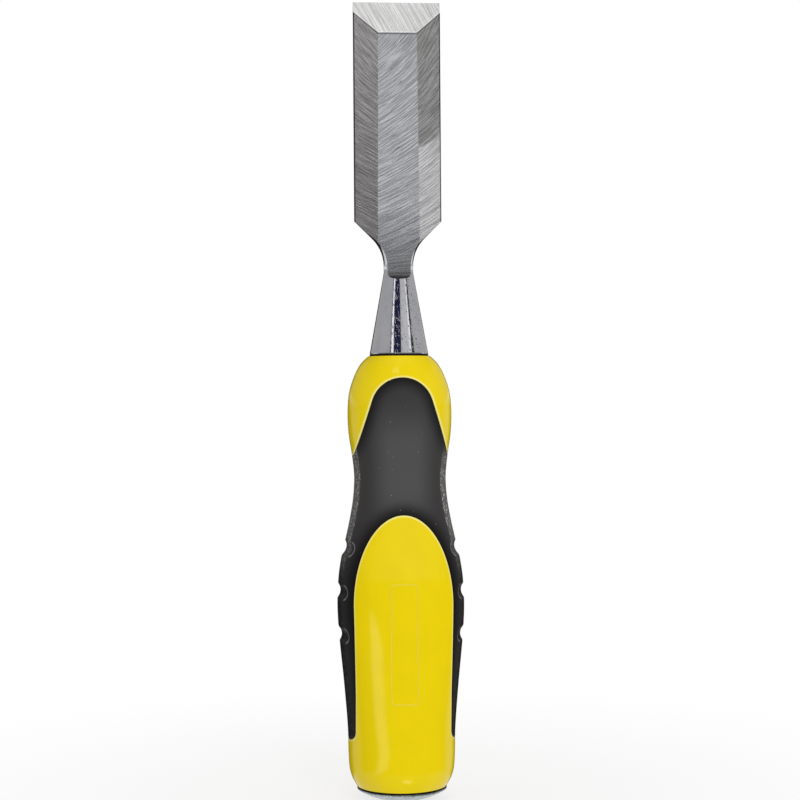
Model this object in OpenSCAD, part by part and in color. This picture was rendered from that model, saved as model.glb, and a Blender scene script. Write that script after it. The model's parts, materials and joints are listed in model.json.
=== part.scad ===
// Bevel-edge bench chisel: forged blade, two-material moulded handle, domed steel strike cap.
// The tool stands on the crown of its strike cap. Z runs up the tool's axis to the cutting edge,
// X is across the blade, and the ground front of the blade faces -Y.

/* [Overall] */
// Length over all, from the strike cap's crown to the cutting edge
overall_l = 232; // [222:1:250]

/* [Blade] */
// Width of the blade, the chisel's nominal size
blade_w = 25.4; // [20:0.1:28]
// Distance of the ground front face from the axis
front_off = 2.6; // [2.3:0.1:2.9]
// Distance of the flat back face from the axis
back_off = 1.9; // [1.6:0.1:2.2]
// Angle of the cutting bevel
edge_angle = 25; // [20:1:35]
// Width of the ground front flat at the shoulder
flat_w = 12.1; // [10:0.1:14]
// Height of the square land left along each side of the blade, at the shoulder
land_h = 1.68; // [1:0.01:1.9]
// Lean of the side bevels towards the cutting edge, in degrees
bevel_lean = 0.18; // [0:0.01:0.3]
// Distance from the cutting edge back to the shoulders
shoulder_drop = 64.1; // [60:0.1:75]

/* [Neck and bolster] */
// Radius of the round neck
neck_r = 4.28; // [4:0.01:4.6]
// Radius of the concave flare between neck and shoulder
flare_r = 11.5; // [9:0.1:13]
// Radius of the bolster's base
bolster_r = 8.5; // [8:0.1:9]
// Length of the bolster's cone
bolster_l = 23.5; // [22:0.1:26]
// Radius of the ground run-out at the front of the neck
runout_front_r = 2.8; // [2.2:0.1:3.2]
// Radius of the lower corners of the front run-out
runout_corner = 1.3; // [0.6:0.1:1.8]
// Radius of the ground run-out at the back of the neck
runout_back_r = 4; // [3.2:0.1:4.5]
// Distance from the end of the cone up to the front run-out's centre
runout_front_gap = 0.6; // [0.4:0.1:2]
// Distance from the end of the cone up to the back run-out's centre
runout_back_gap = 1.7; // [1:0.1:3]
// Thickness of the washer between bolster and handle
washer_t = 0.5; // [0.3:0.1:1]

/* [Handle] */
// Height of the handle's top face, under the bolster washer
handle_top = 128.6; // [127.5:0.1:131]
// Thickness of the rubber over the handle body
rubber_t = 2.2; // [1.6:0.1:2.6]
// Half width of the yellow palm panel
panel_half_w = 14.35; // [13.5:0.05:14.5]
// Height of the palm panel's top
panel_top = 83.1; // [80:0.1:86]
// Height of the widest part of the palm panel
panel_wide_z = 57.3; // [55:0.1:59]
// Half width of the palm panel's straight lower part
panel_low_half_w = 13.85; // [13.5:0.05:14.2]
// Height of the rubber's lower end on the sides
grip_bottom = 17.5; // [16:0.1:19]
// Height of the top of the rubber tongue
arch_top = 122.3; // [120:0.1:123]
// Radius of the tongue's round top
arch_r = 9.2; // [8.6:0.1:9.6]
// Angle of the tongue's sides from the axis
arch_flank = 17.7; // [16.5:0.1:19]

/* [Finger grooves] */
// Height of the lowest finger groove
groove_z = 48.4; // [46:0.1:50]
// Distance between finger grooves
groove_pitch = 12.35; // [11:0.05:13]
// Number of finger grooves on each side
groove_count = 3; // [1:1:3]
// Radius of a finger groove
groove_r = 3.2; // [2.8:0.1:3.6]
// Depth of a finger groove
groove_depth = 0.85; // [0.5:0.05:1]

/* [Tang and sleeve] */
// Side of the square upper tang
tang_side = 8; // [7:0.1:8.5]
// Radius of the round lower tang
tang_r = 3.2; // [2.8:0.1:3.6]
// Height where the square tang ends
tang_step_z = 70; // [50:1:90]
// Outer radius of the tang sleeve
sleeve_r = 7; // [6.6:0.1:7.4]

/* [Strike cap] */
// Radius of the strike cap
cap_r = 13; // [12.6:0.1:13.4]
// Height of the cap's domed part
dome_h = 3.2; // [2.8:0.1:3.6]
// Height of the cap's straight rim
rim_h = 0.4; // [0.3:0.05:0.5]
// Radius of the flat struck face on the crown
strike_r = 4.5; // [3:0.1:5]
// Thickness of the ring between cap and handle
ring_t = 0.6; // [0.4:0.1:1]
// Radius of the cap's stem
stem_r = 5; // [4:0.1:6]
// Height of the top of the stem, where it meets the tang
stem_top = 20.5; // [15:0.5:24]

/* [Hidden] */
$fn = 72;

// Larger than half the tool's width, for cuts that run right through.
stock = 40;
// How far joined solids reach into each other and cuts run past a face.
overlap = 1;

seat_z = dome_h + rim_h;
handle_bottom = seat_z + ring_t;
ring_inset = 0.2;
ring_r = cap_r - ring_inset;

washer_lip = 0.1;
washer_r = bolster_r + washer_lip;
// The washer's hole clears the square tang's corners.
washer_gap = 0.1;
washer_hole_r = tang_side / sqrt(2) + washer_gap;
bolster_z = handle_top + washer_t;
bolster_lip = 0.4;
bolster_chamfer = 0.15;
neck_z = bolster_z + bolster_l + bolster_lip;
shoulder_z = overall_l - shoulder_drop;
blade_t = front_off + back_off;

// The flare leaves the neck upright and runs into the 45 degree shoulder line.
flare_mid_r = neck_r + flare_r * (1 - cos(45));
flare_mid_z = shoulder_z - (blade_w / 2 - flare_mid_r);
flare_z = flare_mid_z - flare_r * sin(45);

// The side bevel falls from the land to the edge of the front flat.
land_y = back_off - land_h;
bevel_run = (blade_w - flat_w) / 2;
bevel_angle = atan((land_y + front_off) / bevel_run);

runout_front_z = neck_z + runout_front_gap;
runout_back_z = neck_z + runout_back_gap;
// The front run-out is as wide as the ground flat on the round neck.
runout_half_w = sqrt(neck_r * neck_r - front_off * front_off);

// The dome's sphere meets the edge of the struck face and the foot of the rim.
dome_centre = (cap_r * cap_r - strike_r * strike_r + dome_h * dome_h) / (2 * dome_h);
dome_r = sqrt(strike_r * strike_r + dome_centre * dome_centre);

// The palm panel's straight sides start here and flare outwards at the foot.
panel_low_z = 32;
foot_r = 3.2;
// Height where the rubber's flanks, carried on down, are well outside the handle.
tongue_foot_z = arch_top - arch_r + arch_r * sin(arch_flank)
    - (stock - arch_r * cos(arch_flank)) / tan(arch_flank);

// Handle profile: height, half width, half depth.
STATIONS = [
    [handle_bottom, 13.1, 13.1],
    [6.5, 14.4, 14.0],
    [9, 15.15, 14.5],
    [13, 15.45, 14.65],
    [21, 15.65, 14.7],
    [34, 16.65, 15.0],
    [47, 17.9, 15.3],
    [56, 18.4, 15.3],
    [64, 18.1, 15.0],
    [70, 17.25, 14.4],
    [76, 15.85, 13.6],
    [82, 14.55, 12.9],
    [88, 13.6, 12.5],
    [94, 13.3, 12.4],
    [100, 13.9, 12.9],
    [106, 14.8, 13.5],
    [112, 15.1, 13.7],
    [118, 14.65, 13.2],
    [123, 13.1, 11.9],
    [126.5, 11.2, 10.4],
    [handle_top, 9.1, 9.1]
];
LAST = len(STATIONS) - 1;
// Rings and sides of the faceted handle skin.
RINGS = 38;
SIDES = 44;
// How much closer together the rings are at both ends.
CROWDING = 0.09;
// How far the belly's section is squarer than an ellipse.
SQUARENESS = 0.4;

// Index of the profile segment that holds height z.
function segment(z, i = 0) = i >= LAST - 1 || z <= STATIONS[i + 1][0] ? i : segment(z, i + 1);

// Slope of column k at station i.
function slope(k, i) =
    let (lo = max(i - 1, 0), hi = min(i + 1, LAST))
    (STATIONS[hi][k] - STATIONS[lo][k]) / (STATIONS[hi][0] - STATIONS[lo][0]);

// Smooth profile through the stations: cubic Hermite in column k.
function profile(k, z) =
    let (
        i = segment(z),
        h = STATIONS[i + 1][0] - STATIONS[i][0],
        t = (z - STATIONS[i][0]) / h
    )
    (1 + 2 * t) * pow(1 - t, 2) * STATIONS[i][k]
    + t * pow(1 - t, 2) * h * slope(k, i)
    + t * t * (3 - 2 * t) * STATIONS[i + 1][k]
    + t * t * (t - 1) * h * slope(k, i + 1);

// Exponent of the superellipse section: an ellipse at both ends, squarer in the belly.
function exponent(z) =
    2 + SQUARENESS * sin(180 * (z - handle_bottom) / (handle_top - handle_bottom));

// Distance from the axis to the skin at angle a from the front.
function skin_r(a, w, d, n) =
    pow(pow(abs(sin(a)) / w, n) + pow(abs(cos(a)) / d, n), -1 / n);

// Ring heights, closer together towards both ends.
function ring_z(i) =
    let (f = i / RINGS)
    handle_bottom + (handle_top - handle_bottom) * (f - CROWDING * sin(360 * f));

// One ring of the skin, set in from the outer surface.
function ring(z, inset) =
    let (w = profile(1, z) - inset, d = profile(2, z) - inset, n = exponent(z))
    [for (j = [0 : SIDES - 1])
        let (a = 360 * j / SIDES, r = skin_r(a, w, d, n))
        [r * sin(a), -r * cos(a), z]];

// Points on a circular arc from angle a0 to a1.
function arc(cx, cz, r, a0, a1, steps = 12) =
    [for (i = [0 : steps])
        let (a = a0 + (a1 - a0) * i / steps)
        [cx + r * cos(a), cz + r * sin(a)]];

function mirrored(points) = [for (i = [len(points) - 1 : -1 : 0]) [-points[i][0], points[i][1]]];

// The handle's envelope as a closed skin, set in by inset.
module envelope(inset = 0) {
    walls = [for (i = [0 : RINGS - 1], j = [0 : SIDES - 1])
        let (a = i * SIDES + j, b = i * SIDES + (j + 1) % SIDES)
        each [[a, a + SIDES, b], [b, a + SIDES, b + SIDES]]];
    bottom = [for (j = [0 : SIDES - 1]) j];
    top = [for (j = [SIDES - 1 : -1 : 0]) RINGS * SIDES + j];
    polyhedron([for (i = [0 : RINGS]) each ring(ring_z(i), inset)], concat(walls, [bottom, top]));
}

// Half of the palm panel's outline: elliptical top, straight side, flared foot.
function panel_half() = concat(
    [for (i = [0 : 18])
        let (t = 90 - 5 * i)
        [panel_half_w * cos(t), panel_wide_z + (panel_top - panel_wide_z) * sin(t)]],
    [[panel_low_half_w, panel_low_z]],
    arc(panel_low_half_w + foot_r, grip_bottom + foot_r, foot_r, 180, 270, 6),
    [[stock, grip_bottom], [stock, 0]]);

// Half of the rubber's outline above the panel: round tongue and leaning flank.
function tongue_half() = concat(
    arc(0, arch_top - arch_r, arch_r, 90, arch_flank, 10),
    [[stock, tongue_foot_z], [stock, 0]]);

// Everything that is rubber, seen from the front, run right through the handle.
module grip_prism() {
    rotate([90, 0, 0]) linear_extrude(stock, center = true) difference() {
        polygon(concat(tongue_half(), mirrored(tongue_half())));
        polygon(concat(panel_half(), mirrored(panel_half())));
    }
}

module finger_grooves() {
    for (side = [-1, 1], i = [0 : groove_count - 1]) {
        z = groove_z + i * groove_pitch;
        x = profile(1, z) + groove_r - groove_depth;
        translate([side * x, 0, z]) rotate([90, 0, 0]) cylinder(h = stock, r = groove_r, center = true);
    }
}

// Conical bolster, round neck and the flare that grows into the shoulders.
module turned_stock() {
    top_r = blade_w / 2 + overlap;
    top_z = shoulder_z + overlap;
    rotate_extrude() difference() {
        polygon([
            [0, bolster_z],
            [bolster_r - bolster_chamfer, bolster_z],
            [bolster_r, bolster_z + bolster_chamfer],
            [bolster_r, bolster_z + bolster_lip],
            [neck_r, neck_z],
            [neck_r, flare_z],
            [flare_mid_r, flare_mid_z],
            [top_r, top_z],
            [0, top_z]
        ]);
        translate([neck_r + flare_r, flare_z]) circle(flare_r);
    }
}

// Ground away on one side of the neck: a flat that ends in a round run-out.
module grinding(runout_z, radius) {
    translate([-stock, 0, 0]) rotate([90, 0, 90]) linear_extrude(2 * stock) union() {
        translate([-stock, runout_z]) square([stock, overall_l]);
        translate([-radius, runout_z]) circle(radius);
    }
}

// The front run-out seen from the front: a U on the cone, wide open from the neck up.
module hollow_outline() {
    inner = runout_half_w - runout_corner;
    low_z = runout_front_z - runout_front_r;
    translate([-inner, low_z]) square([2 * inner, stock]);
    translate([-runout_half_w, low_z + runout_corner]) square([2 * runout_half_w, stock]);
    for (side = [-1, 1]) translate([side * inner, low_z + runout_corner]) circle(runout_corner);
    translate([-stock, neck_z]) square([2 * stock, overall_l]);
}

// Everything in front of one side bevel, from the neck up, so that the cone stays whole.
module side_bevel_cut() {
    translate([blade_w / 2, land_y, shoulder_z]) rotate([-bevel_lean, 0, bevel_angle])
        translate([-1.5 * stock, -stock, neck_z - shoulder_z]) cube([2 * stock, stock, overall_l]);
}

module cutting_bevel_cut() {
    translate([0, back_off, overall_l]) rotate([90 - edge_angle, 0, 0])
        translate([-stock, -stock, 0]) cube([2 * stock, 2 * stock, stock]);
}

module blade() {
    color("silver") {
        difference() {
            union() {
                turned_stock();
                translate([-blade_w / 2, -blade_t, shoulder_z])
                    cube([blade_w, 2 * blade_t, overall_l - shoulder_z]);
            }
            intersection() {
                translate([0, -front_off, 0]) grinding(runout_front_z, runout_front_r);
                rotate([90, 0, 0]) linear_extrude(2 * stock, center = true) hollow_outline();
            }
            translate([0, back_off, 0]) rotate([0, 0, 180]) grinding(runout_back_z, runout_back_r);
            for (side = [0, 1]) mirror([side, 0, 0]) {
                side_bevel_cut();
                translate([blade_w / 2, -stock, flare_mid_z]) cube([stock, 2 * stock, overall_l]);
            }
            cutting_bevel_cut();
        }
        translate([-tang_side / 2, -tang_side / 2, tang_step_z])
            cube([tang_side, tang_side, bolster_z + overlap - tang_step_z]);
        translate([0, 0, stem_top]) cylinder(h = tang_step_z + overlap - stem_top, r = tang_r);
    }
}

module bolster_washer() {
    color("dimgray") translate([0, 0, handle_top]) difference() {
        cylinder(h = washer_t, r = washer_r);
        translate([0, 0, -overlap]) cylinder(h = washer_t + 2 * overlap, r = washer_hole_r);
    }
}

module tang_sleeve() {
    color("gray") difference() {
        translate([0, 0, stem_top]) cylinder(h = handle_top - stem_top, r = sleeve_r);
        translate([-tang_side / 2, -tang_side / 2, tang_step_z])
            cube([tang_side, tang_side, 2 * stock]);
        cylinder(h = tang_step_z + overlap, r = tang_r);
    }
}

module handle_body() {
    color("gold") difference() {
        envelope();
        difference() {
            grip_prism();
            envelope(rubber_t);
        }
        translate([0, 0, stem_top]) cylinder(h = handle_top, r = sleeve_r);
        cylinder(h = stem_top + overlap, r = stem_r);
    }
}

module rubber_grip() {
    color("dimgray") difference() {
        intersection() {
            envelope();
            grip_prism();
        }
        envelope(rubber_t);
        finger_grooves();
    }
}

module cap_ring() {
    color("black") translate([0, 0, seat_z]) difference() {
        cylinder(h = ring_t, r = ring_r);
        translate([0, 0, -overlap]) cylinder(h = stock, r = stem_r);
    }
}

// Dome with a flat crown and a straight rim, on a plain stem.
module strike_cap() {
    color("lightsteelblue") {
        rotate_extrude() intersection() {
            translate([0, dome_centre]) circle(dome_r);
            square([cap_r, seat_z]);
        }
        translate([0, 0, dome_h]) cylinder(h = stem_top - dome_h, r = stem_r);
    }
}

blade();
bolster_washer();
tang_sleeve();
handle_body();
rubber_grip();
cap_ring();
strike_cap();
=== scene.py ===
"""Looks of a bevel-edge bench chisel: ground blade, two-material moulded handle, domed steel cap.

Lengths in the shape functions are in millimetres and become metres where a mesh is made.
Z runs up the tool's axis, X is across the blade, and the ground front of the blade faces -Y.
"""

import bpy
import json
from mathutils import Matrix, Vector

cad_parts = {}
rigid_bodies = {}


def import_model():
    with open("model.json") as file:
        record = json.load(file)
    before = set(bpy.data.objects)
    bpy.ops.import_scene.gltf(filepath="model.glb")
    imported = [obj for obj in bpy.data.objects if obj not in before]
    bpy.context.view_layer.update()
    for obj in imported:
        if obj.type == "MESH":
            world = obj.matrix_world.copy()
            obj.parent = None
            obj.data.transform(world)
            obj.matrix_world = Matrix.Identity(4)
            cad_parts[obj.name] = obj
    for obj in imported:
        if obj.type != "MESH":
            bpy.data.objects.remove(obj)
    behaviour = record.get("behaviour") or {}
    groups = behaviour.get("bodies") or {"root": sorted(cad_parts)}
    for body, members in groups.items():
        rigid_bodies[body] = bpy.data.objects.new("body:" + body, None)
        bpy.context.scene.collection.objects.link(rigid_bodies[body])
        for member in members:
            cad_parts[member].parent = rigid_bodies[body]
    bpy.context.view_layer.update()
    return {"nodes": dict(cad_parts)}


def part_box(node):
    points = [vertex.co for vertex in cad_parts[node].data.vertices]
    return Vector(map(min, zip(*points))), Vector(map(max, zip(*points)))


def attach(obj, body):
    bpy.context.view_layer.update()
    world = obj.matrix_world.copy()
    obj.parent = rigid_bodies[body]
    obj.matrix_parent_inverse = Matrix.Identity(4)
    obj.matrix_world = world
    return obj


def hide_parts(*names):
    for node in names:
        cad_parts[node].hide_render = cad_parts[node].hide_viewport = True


bl_info = {
    "name": "Bench Chisel",
    "version": (1, 0, 0),
    "blender": (4, 5, 0),
    "location": "3D View > Sidebar > Bench Chisel",
    "description": "Builds the visible pieces, finishes and studio of a bench chisel",
    "category": "Object",
}

import json
from math import cos, pi, radians, sin, sqrt, tan

import bmesh
import bpy
import numpy as np
from bpy.props import FloatProperty, FloatVectorProperty, IntProperty, PointerProperty

for leftover in list(bpy.data.objects):
    bpy.data.objects.remove(leftover)
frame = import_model()

MM = 0.001
QUARTER = pi / 2

# ---------------------------------------------------------------- handle's shape

# Handle profile: height, half width, half depth.
STATIONS = np.array([
    [4.2, 13.1, 13.1],
    [6.5, 14.4, 14.0],
    [9, 15.15, 14.5],
    [13, 15.45, 14.65],
    [21, 15.65, 14.7],
    [34, 16.65, 15.0],
    [47, 17.9, 15.3],
    [56, 18.4, 15.3],
    [64, 18.1, 15.0],
    [70, 17.25, 14.4],
    [76, 15.85, 13.6],
    [82, 14.55, 12.9],
    [88, 13.6, 12.5],
    [94, 13.3, 12.4],
    [100, 13.9, 12.9],
    [106, 14.8, 13.5],
    [112, 15.1, 13.7],
    [118, 14.65, 13.2],
    [123, 13.1, 11.9],
    [126.5, 11.2, 10.4],
    [128.6, 9.1, 9.1],
])
HANDLE_BOTTOM = STATIONS[0, 0]
HANDLE_TOP = STATIONS[-1, 0]
SQUARENESS = 0.4

PANEL_HALF_W = 14.35
PANEL_TOP = 83.1
PANEL_WIDE_Z = 57.3
PANEL_LOW_HALF_W = 13.85
PANEL_LOW_Z = 32.0
FOOT_R = 3.2
GRIP_BOTTOM = 17.5
ARCH_TOP = 122.3
ARCH_R = 9.2
ARCH_FLANK = radians(17.7)
ARCH_TOUCH = ARCH_TOP - ARCH_R + ARCH_R * sin(ARCH_FLANK)

GROOVE_PITCH = 12.35
GROOVES = 48.4 + GROOVE_PITCH * np.arange(3)
GROOVE_R = 3.2
GROOVE_END = 6.8
GROOVE_DEPTH = 0.85
# The least inset of the visible skin, which keeps it inside the faceted solids.
SKIN_INSET = 0.006
SLEEVE_R = 7.0
WASHER_BORE_R = 5.76
STEM_R = 5.0
STEM_TOP = 20.5

# ---------------------------------------------------------------- blade's shape

BLADE_HALF_W = 12.7
# Height above which the neck's faces are ground.
GROUND_Z = 153.0
# Arris between the cutting bevel and the front: its height, half its level part, and how far
# its ends rise for each millimetre outwards.
ARRIS_Z = 222.35
ARRIS_HALF_W = 5.65
ARRIS_RISE = 0.93
# Kinds of face on the blade, which are the numbers of its materials.
FLAT, LEFT, RIGHT, EDGE, BACK, LAND, POLISHED, HOLLOW = range(8)

# ---------------------------------------------------------------- handle's surfaces


def profile(column, z):
    """Cubic Hermite curve through the stations, whose slope at each is the rise between its
    two neighbours over their distance."""
    at = STATIONS[:, 0]
    value = STATIONS[:, column]
    slope = np.empty_like(value)
    slope[1:-1] = (value[2:] - value[:-2]) / (at[2:] - at[:-2])
    slope[0] = (value[1] - value[0]) / (at[1] - at[0])
    slope[-1] = (value[-1] - value[-2]) / (at[-1] - at[-2])
    i = np.clip(np.searchsorted(at, z, side="left") - 1, 0, len(at) - 2)
    step = at[i + 1] - at[i]
    t = (z - at[i]) / step
    return (
        (1 + 2 * t) * (1 - t) ** 2 * value[i]
        + t * (1 - t) ** 2 * step * slope[i]
        + t * t * (3 - 2 * t) * value[i + 1]
        + t * t * (t - 1) * step * slope[i + 1]
    )


def exponent(z):
    """Exponent of the superellipse section: 2 at both ends, more by a half sine in the belly."""
    return 2 + SQUARENESS * np.sin(pi * (z - HANDLE_BOTTOM) / (HANDLE_TOP - HANDLE_BOTTOM))


def skin(turn, z, inset=0.0):
    """Point of the handle's skin at angle turn from the front and height z, set in by inset.
    The distance from the axis is ((|sin|/w)^n + (|cos|/d)^n)^(-1/n)."""
    turn, z, inset = np.broadcast_arrays(turn, z, inset)
    n = exponent(z)
    w = profile(1, z) - inset
    d = profile(2, z) - inset
    r = ((np.abs(np.sin(turn)) / w) ** n + (np.abs(np.cos(turn)) / d) ** n) ** (-1 / n)
    return np.stack([r * np.sin(turn), -r * np.cos(turn), z], axis=-1)


def turn_at(x, z):
    """Angle from the front at which the skin at height z is x from the middle plane."""
    n = exponent(z)
    across = np.clip(x / profile(1, z), 0, 1)
    depth = profile(2, z) * (1 - across ** n) ** (1 / n)
    return np.arctan2(across * profile(1, z), depth)


def panel_x(z):
    """Half width of the palm panel: an ellipse on top, a straight side, a flared foot."""
    rise = np.clip((z - PANEL_WIDE_Z) / (PANEL_TOP - PANEL_WIDE_Z), 0, 1)
    low = np.clip((PANEL_WIDE_Z - z) / (PANEL_WIDE_Z - PANEL_LOW_Z), 0, 1)
    drop = np.clip(GRIP_BOTTOM + FOOT_R - z, 0, FOOT_R)
    ellipse = PANEL_HALF_W * np.sqrt(1 - rise ** 2)
    flare = FOOT_R - np.sqrt(FOOT_R ** 2 - drop ** 2)
    return ellipse - (PANEL_HALF_W - PANEL_LOW_HALF_W) * low + flare


def tongue_x(z):
    """Half width of the rubber tongue: leaning flanks under a round top that they touch."""
    rise = np.clip(z - (ARCH_TOP - ARCH_R), 0, ARCH_R)
    flank = ARCH_R * cos(ARCH_FLANK) + (ARCH_TOUCH - z) * tan(ARCH_FLANK)
    return np.where(z > ARCH_TOUCH, np.sqrt(ARCH_R ** 2 - rise ** 2), flank)


def crossing(outline, low, high):
    """Height between low and high where an outline is as wide as the skin, by halving."""
    for _ in range(50):
        middle = (low + high) / 2
        inside = outline(np.array(middle)) < profile(1, np.array(middle))
        low, high = (low, middle) if inside else (middle, high)
    return (low + high) / 2


STRIP_FOOT = crossing(panel_x, GRIP_BOTTOM, GRIP_BOTTOM + FOOT_R)
YELLOW_MEET = crossing(tongue_x, 90.0, 110.0)


def both_ends(count):
    """Numbers from 0 to 1 that crowd at both ends: 3t^2 - 2t^3."""
    t = np.linspace(0, 1, count + 1)
    return t * t * (3 - 2 * t)


def row_heights():
    """Heights of the skin's rows, close together where an outline runs level, and the numbers
    of the rows at the rubber's foot, the panel's top, the yellow's meeting and the arch's top."""
    foot = np.linspace(0, 1, 17) ** 2
    start = np.arccos((GRIP_BOTTOM + FOOT_R - STRIP_FOOT) / FOOT_R)
    parts = [
        HANDLE_BOTTOM + (STRIP_FOOT - HANDLE_BOTTOM) * both_ends(20),
        GRIP_BOTTOM + FOOT_R - FOOT_R * np.cos(start + (QUARTER - start) * foot),
        np.linspace(GRIP_BOTTOM + FOOT_R, 44, 26),
        np.linspace(44, 77, 79),
        PANEL_TOP - (PANEL_TOP - 77) * np.linspace(1, 0, 22) ** 2,
        PANEL_TOP + (YELLOW_MEET - PANEL_TOP) * both_ends(24),
        YELLOW_MEET + (ARCH_TOUCH - YELLOW_MEET) * np.linspace(0, 1, 34) ** 2,
        ARCH_TOP - ARCH_R * (1 - np.sin(np.linspace(ARCH_FLANK, QUARTER, 22))),
        ARCH_TOP + (HANDLE_TOP - ARCH_TOP) * both_ends(20),
    ]
    rows = np.unique(np.concatenate(parts).round(7))
    marks = [np.abs(rows - z).argmin() for z in (STRIP_FOOT, PANEL_TOP, YELLOW_MEET, ARCH_TOP)]
    return rows, marks


ROWS, (FOOT, APEX, MEET, ARCH) = row_heights()
PANEL_TURN = np.where(ROWS < PANEL_TOP, turn_at(panel_x(ROWS), ROWS), 0)
PANEL_TURN[: FOOT + 1] = QUARTER
TONGUE_TURN = np.where(ROWS < ARCH_TOP, turn_at(tongue_x(np.minimum(ROWS, ARCH_TOP)), ROWS), 0)
TONGUE_TURN[: MEET + 1] = QUARTER
PANEL_LINE = skin(PANEL_TURN[FOOT : APEX + 1], ROWS[FOOT : APEX + 1])
TONGUE_LINE = skin(TONGUE_TURN[MEET : ARCH + 1], ROWS[MEET : ARCH + 1])


def distance(points, line):
    """Distance from each point to a chain of straight pieces: to the nearest point of every
    piece, found by projecting on it, and the least of those."""
    flat = points.reshape(-1, 1, 3)
    best = np.full(len(flat), np.inf)
    for part in np.array_split(np.arange(len(line) - 1), 8):
        start = line[part]
        along = line[part + 1] - start
        share = ((flat - start) * along).sum(-1) / np.maximum((along ** 2).sum(-1), 1e-12)
        nearest = start + np.clip(share, 0, 1)[..., None] * along
        gap = np.sqrt(((flat - nearest) ** 2).sum(-1)).min(1)
        best = np.minimum(best, gap)
    return best.reshape(points.shape[:-1])


def rolled(gap, radius):
    """How far an edge is rounded down at a distance from its border: a quarter circle."""
    inward = np.clip(radius - gap, 0, radius)
    return radius - np.sqrt(radius ** 2 - inward ** 2)


def groove_depth(points):
    """Depth of the finger grooves: circular channels along Y whose ends are round. Their depth
    is sqrt(r^2 - q^2) less the part of r that stays outside, q being the distance to the
    groove's middle line, and it fades in softly at the rims."""
    beyond = np.maximum(np.abs(points[..., 1]) - GROOVE_END, 0)
    total = np.zeros(points.shape[:-1])
    for height in GROOVES:
        q2 = (points[..., 2] - height) ** 2 + beyond ** 2
        raw = np.sqrt(np.maximum(GROOVE_R ** 2 - q2, 0)) - (GROOVE_R - GROOVE_DEPTH)
        total += (raw + np.sqrt(raw ** 2 + 0.004)) / 2
    return np.where(total > 0.02, total - 0.02, 0)


# ---------------------------------------------------------------- meshes


def grid_quads(rows, cols, wrap=False):
    """Corner numbers of a grid's quads, its points being numbered row by row."""
    i = np.arange(rows - 1)[:, None]
    j = np.arange(cols if wrap else cols - 1)[None, :]
    k = (j + 1) % cols
    quads = np.stack([i * cols + j, i * cols + k, (i + 1) * cols + k, (i + 1) * cols + j], -1)
    return quads.reshape(-1, 4)


class Shell:
    """Collects grids of points, with a number or two for each point, into one mesh."""

    def __init__(self):
        self.points = []
        self.quads = []
        self.marks = []
        self.count = 0

    def add(self, points, wrap=False, mark=0.0):
        """Adds a grid of points, rows by columns, closed round its columns if wrap."""
        rows, cols = points.shape[:2]
        self.points.append(points.reshape(-1, 3))
        self.quads.append(grid_quads(rows, cols, wrap) + self.count)
        self.marks.append(np.broadcast_to(mark, (rows, cols)).reshape(-1))
        self.count += rows * cols

    def quartered(self):
        """The same grids with their mirror images across the planes x = 0 and y = 0."""
        whole = Shell()
        points = np.concatenate(self.points)
        quads = np.concatenate(self.quads)
        marks = np.concatenate(self.marks)
        for sx, sy in ((1, 1), (-1, 1), (1, -1), (-1, -1)):
            whole.points.append(points * [sx, sy, 1])
            whole.quads.append((quads if sx * sy > 0 else quads[:, ::-1]) + whole.count)
            whole.marks.append(marks)
            whole.count += len(points)
        return whole

    def piece(self, name, slot, sharp=40, mark_name=None):
        """Makes the mesh object: doubles merged, closed, normals outwards, smooth but for
        edges sharper than the angle given."""
        points = np.concatenate(self.points) * MM
        quads = np.concatenate(self.quads)
        mesh = bpy.data.meshes.new(name)
        mesh.vertices.add(len(points))
        mesh.vertices.foreach_set("co", points.astype(np.float32).ravel())
        mesh.loops.add(quads.size)
        mesh.loops.foreach_set("vertex_index", quads.astype(np.int32).ravel())
        mesh.polygons.add(len(quads))
        mesh.polygons.foreach_set("loop_start", np.arange(0, quads.size, 4, dtype=np.int32))
        if mark_name:
            layer = mesh.attributes.new(mark_name, "FLOAT", "POINT")
            layer.data.foreach_set("value", np.concatenate(self.marks).astype(np.float32))
        mesh.update(calc_edges=True)
        merge(mesh)
        mesh.polygons.foreach_set("use_smooth", np.ones(len(mesh.polygons), bool))
        mesh.set_sharp_from_angle(angle=radians(sharp))
        return show(mesh, name)


def merge(mesh, outward=True):
    """Merges doubles, drops faces without area and turns normals outwards."""
    work = bmesh.new()
    work.from_mesh(mesh)
    bmesh.ops.remove_doubles(work, verts=work.verts, dist=2e-7)
    bmesh.ops.dissolve_degenerate(work, edges=work.edges, dist=1e-7)
    if outward:
        bmesh.ops.recalc_face_normals(work, faces=work.faces)
    loose = [v for v in work.verts if not v.link_faces]
    bmesh.ops.delete(work, geom=loose, context="VERTS")
    work.to_mesh(mesh)
    work.free()


def show(mesh, name):
    """Puts a mesh in the scene as a piece that rides on the tool."""
    piece = bpy.data.objects.new(name, mesh)
    bpy.context.scene.collection.objects.link(piece)
    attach(piece, "root")
    return piece


def turned(rim, sides):
    """Surface of a closed outline carried round the axis: (r sin t, -r cos t, z)."""
    t = np.linspace(0, 2 * pi, sides, endpoint=False)
    rim = np.asarray(rim, float)
    r = rim[:, :1]
    z = np.broadcast_to(rim[:, 1:], (len(rim), sides))
    return np.stack([r * np.sin(t), -r * np.cos(t), z], -1)


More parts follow.
